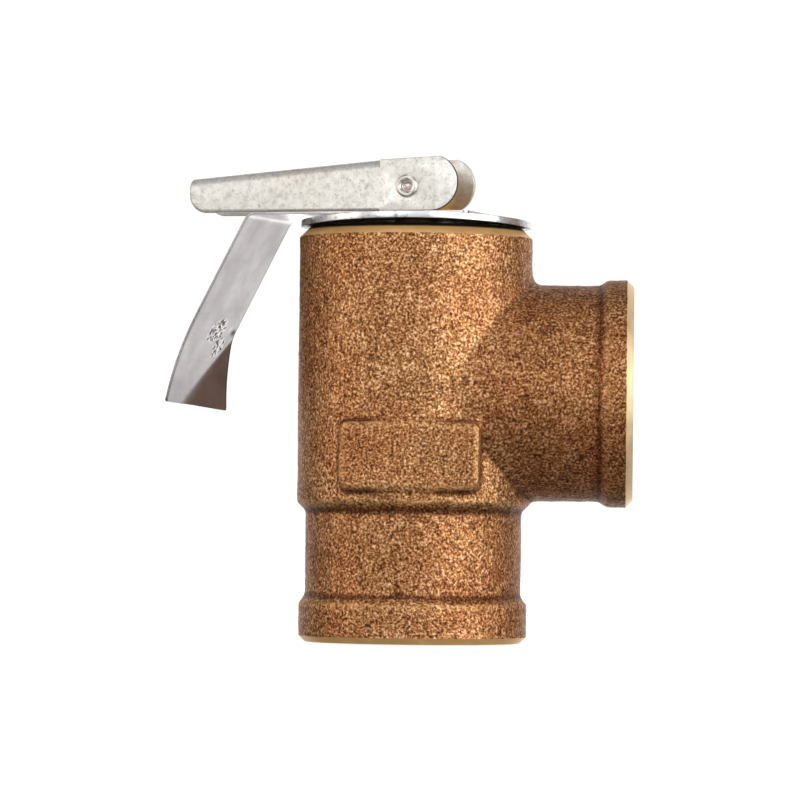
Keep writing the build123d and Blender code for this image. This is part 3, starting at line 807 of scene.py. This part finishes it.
def tag_sheet():
    """A flat sheet a little bigger than the strip, as a fine grid, with X as run and Y as across."""
    ends, spacing = (-12.6, 24.0, 26.6, 43.0, 52.0, TAG_END), (0.8, 0.2, 0.6, 0.13, 0.3)
    runs = [np.arange(start, end - 1e-6, step) for start, end, step in zip(ends, ends[1:], spacing)]
    runs = np.concatenate(runs + [[TAG_END]])
    edge = TAG_HALF + 0.4
    sides = np.concatenate([np.linspace(-edge, 4.5, 96), np.linspace(5.0, edge, 14)])
    wide, deep = len(sides), len(runs)
    vertices = [(r, a, h) for h in (-TAG_SHEET / 2, TAG_SHEET / 2) for r in runs for a in sides]
    faces, layer = [], wide * deep
    for i in range(deep - 1):
        for j in range(wide - 1):
            k = i * wide + j
            faces.append((k, k + 1, k + wide + 1, k + wide))
            faces.append((k + layer, k + layer + wide, k + layer + wide + 1, k + layer + 1))
    rim = list(range(wide)) + [i * wide + wide - 1 for i in range(1, deep)]
    rim += [(deep - 1) * wide + j for j in range(wide - 2, -1, -1)]
    rim += [i * wide for i in range(deep - 2, 0, -1)]
    for one, other in zip(rim, rim[1:] + rim[:1]):
        faces.append((one, one + layer, other + layer, other))
    return new_object("tag_strip", vertices, faces)


def tag_outline():
    """A block with the strip's rounded corners."""
    corners = (
        (TAG_BACK, -TAG_HALF, 0.9), (TAG_BACK, TAG_HALF, 0.9),
        (TAG_TIP_NEAR, TAG_HALF, 0.5), (TAG_TIP_FAR, -TAG_HALF, 0.5),
    )
    outline = []
    for number, (run, across, radius) in enumerate(corners):
        inward = (run + math.copysign(radius, 20 - run), across - math.copysign(radius, across))
        turn = math.radians(270 - 90 * number)
        for step in range(7):
            angle = turn - step * math.pi / 12
            outline.append((inward[0] + radius * math.cos(angle), inward[1] + radius * math.sin(angle)))
    block = [(x, y, -1.0) for x, y in outline] + [(x, y, 1.0) for x, y in outline]
    count = len(outline)
    faces = [tuple(range(count)), tuple(range(count, 2 * count))]
    faces += [(k, (k + 1) % count, (k + 1) % count + count, k + count) for k in range(count)]
    return new_object("outline", block, faces)


def make_tag():
    tag = tag_sheet()
    cut(tag, tag_outline(), "INTERSECT")
    cut(tag, revolved("hole", [(0, -1), (4.2, -1), (4.2, 1), (0, 1)], 72))
    mesh = tag.data
    mesh.materials.clear()
    run, across, height = places_of(mesh).T
    step = 0.01
    middle = tag_surface(run, across)
    slope = np.cross(tag_surface(run + step, across) - middle, tag_surface(run, across + step) - middle)
    slope /= np.linalg.norm(slope, axis=1)[:, None]
    marks, share = stamped_marks(run, across)
    inner = height < 0
    offset = height - marks * np.where(inner, 1.0, 0.4)
    mesh.vertices.foreach_set("co", (middle + slope * offset[:, None]).ravel())
    mesh.update()
    # Where the stamped patch's painted highlights and shade go.
    point_attribute(mesh, "stamped_and_highlit", share)
    # Painted shade along the inner face's rims.
    point_attribute(mesh, "rim", np.clip((np.abs(across) - 9.95) / 0.2, 0, 1) * inner)
    sharpen(mesh, 40)
    return tag


finish_piece(make_tag(), "tag", ["rating_tag"], [stainless])

# ------------------------------------------------------------------ lever and cap plate, shaped as in the CAD
LEVER_ALONG = Vector((math.cos(LEVER_TURN), -math.sin(LEVER_TURN), 0))
LEVER_NEAR = Vector((-math.sin(LEVER_TURN), -math.cos(LEVER_TURN), 0))
WALL_INSIDE, WALL_MIDDLE, WALL_OUTSIDE = 4.1, 4.4, 4.9  # distances from the lever's middle line


def broken_edges(node_name, name, offset):
    """A copy of a CAD node in millimetres, with its flat faces merged and its sharp edges rounded."""
    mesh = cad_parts[node_name].data.copy()
    mesh.transform(Matrix.Scale(1 / MM, 4))
    mesh.materials.clear()
    mesh.name = name
    work = bmesh.new()
    work.from_mesh(mesh)
    bmesh.ops.remove_doubles(work, verts=work.verts, dist=0.003)
    bmesh.ops.dissolve_limit(work, angle_limit=math.radians(1.0), verts=work.verts, edges=work.edges)
    sharp = [e for e in work.edges if len(e.link_faces) == 2 and e.calc_face_angle(0) > math.radians(35)]
    surface = BVHTree.FromBMesh(work)
    rounding = {"offset": offset, "segments": 3, "profile": 0.5, "affect": "EDGES", "clamp_overlap": False}
    bmesh.ops.bevel(work, geom=sharp, **rounding)
    # Where two rounded edges run into each other, the bevel overshoots: those points go back to the surface.
    for point in work.verts:
        nearest, _, _, gap = surface.find_nearest(point.co)
        if gap > offset:
            point.co = nearest
    bmesh.ops.triangulate(work, faces=work.faces)
    work.to_mesh(mesh)
    work.free()
    sharpen(mesh, 32)
    return linked(name, mesh)


lever = broken_edges("lever", "zinc_lever", 0.13)
for face in lever.data.polygons:
    across, facing = face.center.dot(LEVER_NEAR), face.normal.dot(LEVER_NEAR)
    on_near_edge = WALL_INSIDE < across < WALL_OUTSIDE and abs(facing) < 0.4
    # Faces inside the channel take the painted reflection of the bronze.
    if abs(across) < WALL_MIDDLE and facing * across < -0.5:
        face.material_index = 1
    # The near ear's rim at the heel: painted shadow.
    elif on_near_edge and face.center.x > 3.0 and face.normal.x > 0.1:
        face.material_index = 2
finish_piece(lever, "lever", ["lever"], [zinc_steel, reflecting_zinc, shadowed_rim])

plate = broken_edges("cap_plate", "bowed_plate", 0.10)
for face in plate.data.polygons:
    if face.normal.z < -0.6:
        face.material_index = 1
finish_piece(plate, "cap", ["cap_plate"], [bright_zinc, shaded_zinc])


# ------------------------------------------------------------------ rivet and spring
def make_rivet():
    """A semi-tubular rivet: a low head on the far side, and a rolled lip round its bore on the near side."""
    head, shank, lip, bore, face = 2.6, 1.47, 1.88, 0.9, 5.02
    outline = [(0, -face - 0.90)]
    for angle in np.radians(range(0, 91, 15)):
        outline.append((head - 0.6 + 0.6 * math.sin(angle), -face - 0.30 - 0.60 * math.cos(angle)))
    outline += [(head, -face), (shank, -face), (shank, face - 0.02)]
    middle, half = (lip + bore) / 2, (lip - bore) / 2
    for angle in np.radians(range(-7, 181, 11)):
        outline.append((middle + half * math.cos(angle), face + 0.06 + 0.46 * math.sin(angle)))
    floor, dome = face - 0.38, 0.34
    outline += [(bore, face - 0.15), (bore, floor), (bore - 0.06, floor - 0.05)]
    for angle in np.radians(range(0, 90, 15)):
        outline.append((0.76 * math.cos(angle), floor - 0.05 + dome * math.sin(angle)))
    outline += [(0, floor - 0.05 + dome)]
    place = Matrix((LEVER_ALONG, LEVER_NEAR.cross(LEVER_ALONG), LEVER_NEAR)).transposed().to_4x4()
    rivet = revolved("tubular_rivet", outline, 72, Matrix.Translation((0, 0, PIN_HEIGHT)) @ place)
    sharpen(rivet.data, 40)
    return rivet


def make_spring(low=32.5, high=55.0, radius=10.6, wire=1.2, pitch=4.2, ground=0.55):
    """A compression spring with closed ends that are ground flat."""
    closed = 2 * wire + 0.05
    rise = high - low - 2 * ground
    turns = 2 + (rise - 2 * closed) / pitch
    heights = [low + ground, low + ground + closed, high - ground - closed, high - ground]
    steps, round_steps = int(turns * 72), 20
    vertices, faces = [], []
    for step in range(steps + 1):
        turn = turns * step / steps
        nearby = turn + np.linspace(-0.12, 0.12, 7)
        height = float(np.mean(np.interp(nearby, [0, 1, turns - 1, turns], heights)))
        angle = 2 * math.pi * turn
        out = Vector((math.cos(angle), math.sin(angle), 0))
        for part in range(round_steps):
            around = 2 * math.pi * part / round_steps
            point = out * (radius + wire * math.cos(around))
            point.z = min(high - 0.01, max(low + 0.01, height + wire * math.sin(around)))
            vertices.append(point)
    for step in range(steps):
        for part in range(round_steps):
            one, other = step * round_steps + part, step * round_steps + (part + 1) % round_steps
            faces.append((one, other, other + round_steps, one + round_steps))
    faces += [tuple(range(round_steps)), tuple(range(steps * round_steps, (steps + 1) * round_steps))]
    spring = new_object("ground_spring", vertices, faces)
    sharpen(spring.data, 40)
    return spring


finish_piece(make_rivet(), "stem", ["lever_rivet"], [rivet_steel])
spring = make_spring()
finish_piece(spring, "valve", ["spring"], [spring_steel])
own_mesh(spring)

# ------------------------------------------------------------------ carried-over pieces
for material, names in (
    (turned_brass, ("stem", "adjusting_plug", "lock_ring", "spring_step", "disc_holder", "disc_washer")),
    (rivet_steel, ("disc_screw", "stem_ring")),
    (seat_rubber, ("seat_disc",)),
):
    for name in names:
        set_materials(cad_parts[name].data, [material])

# ------------------------------------------------------------------ studio
STUDIO_MIDDLE = Vector((0, 0, 0.04))
LIGHT_DISTANCE, FLAG_DISTANCE = 0.9, 0.7
WHITE = (1.0, 1.0, 1.0)
SQUARE = ((-1, -1), (1, -1), (1, 1), (-1, 1))

world = bpy.data.worlds.new("studio")
scene.world = world
world.use_nodes = True
tree = world.node_tree
dim = tree.nodes["Background"]
dim.inputs["Color"].default_value = (1.0, 0.99, 0.98, 1)
dim.inputs["Strength"].default_value = 0.23
white = node(tree, "Background", {"Color": (*WHITE, 1), "Strength": 1.05})
seen = node(tree, "LightPath").outputs["Is Camera Ray"]
both = node(tree, "MixShader", {0: seen, 1: dim.outputs[0], 2: white.outputs[0]})
tree.links.new(both.outputs[0], tree.nodes["World Output"].inputs["Surface"])

# Azimuth 0 is on the camera's side, and 90 on the outlet's.
LIGHTS = (
    # name, azimuth, elevation, width, height, power, colour
    ("key", 40, 13, 0.65, 0.45, 4.0, (0.95, 1.0, 1.03)),
    ("right", 76, 11, 0.40, 0.45, 1.9, WHITE),
    ("left", -72, 12, 0.40, 0.45, 1.95, (1.0, 0.88, 0.80)),
    ("left_front", -26, 14, 0.35, 0.45, 1.3, WHITE),
    ("front", -7, 12, 0.20, 0.40, 0.35, WHITE),
    ("overhead", -10, 70, 0.45, 0.45, 1.1, WHITE),
    ("bounce", -8, -36, 0.5, 0.3, 0.22, (1.0, 0.84, 0.70)),
    ("low_right", 62, -8, 0.30, 0.25, 0.6, WHITE),
    ("backdrop_core", 178, -10, 0.40, 0.40, 0.35, WHITE),
    ("backdrop", 180, 2, 1.5, 1.1, 4.6, WHITE),
)


def outward(azimuth, elevation):
    turn, rise = math.radians(azimuth), math.radians(elevation)
    return Vector((math.sin(turn) * math.cos(rise), -math.cos(turn) * math.cos(rise), math.sin(rise)))


def soft_light(name, azimuth, elevation, width, height, power, colour):
    """An area light that faces the object."""
    data = bpy.data.lights.new(name, "AREA")
    data.shape = "RECTANGLE"
    data.size, data.size_y = width, height
    data.energy = power
    data.color = colour
    made = linked(name, data)
    made.location = STUDIO_MIDDLE + LIGHT_DISTANCE * outward(azimuth, elevation)
    made.rotation_euler = (STUDIO_MIDDLE - made.location).to_track_quat("-Z", "Y").to_euler()
    made.visible_camera = False


def dark_flag(azimuth, elevation, width, height):
    """A dark card that only reflections see, as a photographer puts one beside shiny metal."""
    out = outward(azimuth, elevation)
    side = out.cross(Vector((0, 0, 1))).normalized()
    up = side.cross(out)
    middle = STUDIO_MIDDLE + FLAG_DISTANCE * out
    corners = [middle + a * width / 2 * side + b * height / 2 * up for a, b in SQUARE]
    card = new_object("flag", corners, [(0, 1, 2, 3)])
    paint, tree, shader, place = new_material("flag_paint")
    cloud = noise_of(tree, place, 9, 2, 0.5)
    brown = ramp(tree, cloud, [(0.3, (0.22, 0.145, 0.115)), (0.7, (0.27, 0.180, 0.142))])
    set_shader(tree, shader, Base_Color=(0, 0, 0, 1), Roughness=1.0)
    set_shader(tree, shader, Emission_Color=brown, Emission_Strength=1.0)
    card.data.materials.append(paint)
    card.visible_camera = card.visible_diffuse = card.visible_shadow = False


def pale_floor(reach=3, height=-0.0003):
    """A bright floor just below the valve, which only the camera sees."""
    floor = new_object("floor", [(reach * a, reach * b, height) for a, b in SQUARE], [(0, 1, 2, 3)])
    pale, tree, shader, place = new_material("pale_floor")
    cloud = noise_of(tree, place, 6, 2, 0.5)
    tint = ramp(tree, cloud, [(0.3, (0.94, 0.94, 0.94)), (0.7, (0.95, 0.95, 0.95))])
    set_shader(tree, shader, Base_Color=tint, Roughness=0.9)
    set_shader(tree, shader, Emission_Color=(*WHITE, 1), Emission_Strength=0.8)
    floor.data.materials.append(pale)
    floor.visible_diffuse = floor.visible_glossy = floor.visible_shadow = False


for light in LIGHTS:
    soft_light(*light)
dark_flag(116, 4, 0.50, 0.5)
pale_floor()
